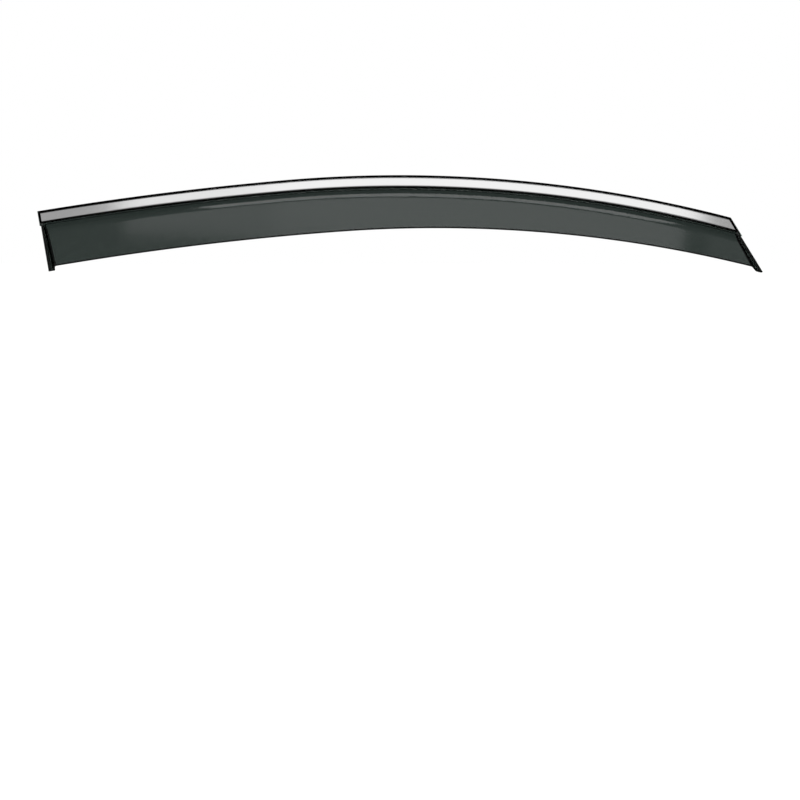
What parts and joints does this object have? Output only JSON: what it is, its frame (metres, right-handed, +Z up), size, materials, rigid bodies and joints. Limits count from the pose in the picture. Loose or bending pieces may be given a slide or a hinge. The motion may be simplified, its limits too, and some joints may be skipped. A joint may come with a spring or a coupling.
{
  "type": "window rain deflector",
  "caption": "Stick-on rain deflector for a front side window: smoked acrylic visor with closed ends, a bright strip along its head and adhesive tape with release film on its back.",
  "frame": {"origin": "crown of the head rail, on the back of the release film over the mounting tape, where the part meets the door frame", "axes": "+X along the door to the raked front end, +Y into the door, +Z up"},
  "size_m": [1.0095, 0.0452, 0.1352],
  "materials": {
    "smoked_acrylic": "injection-moulded smoked acrylic, polished",
    "bright_steel": "thin bright-rolled stainless steel strip",
    "foam_tape": "black closed-cell acrylic foam tape, matt",
    "release_film": "red polyethylene release film, satin"
  },
  "bodies": {
    "root": {"visor_body": "smoked_acrylic", "trim_strip": "bright_steel", "trim_tape": "foam_tape", "mounting_tape": "foam_tape", "front_end_tape": "foam_tape", "rear_end_tape": "foam_tape", "tape_liner": "release_film", "front_end_liner": "release_film", "rear_end_liner": "release_film"}
  },
  "joints": []
}
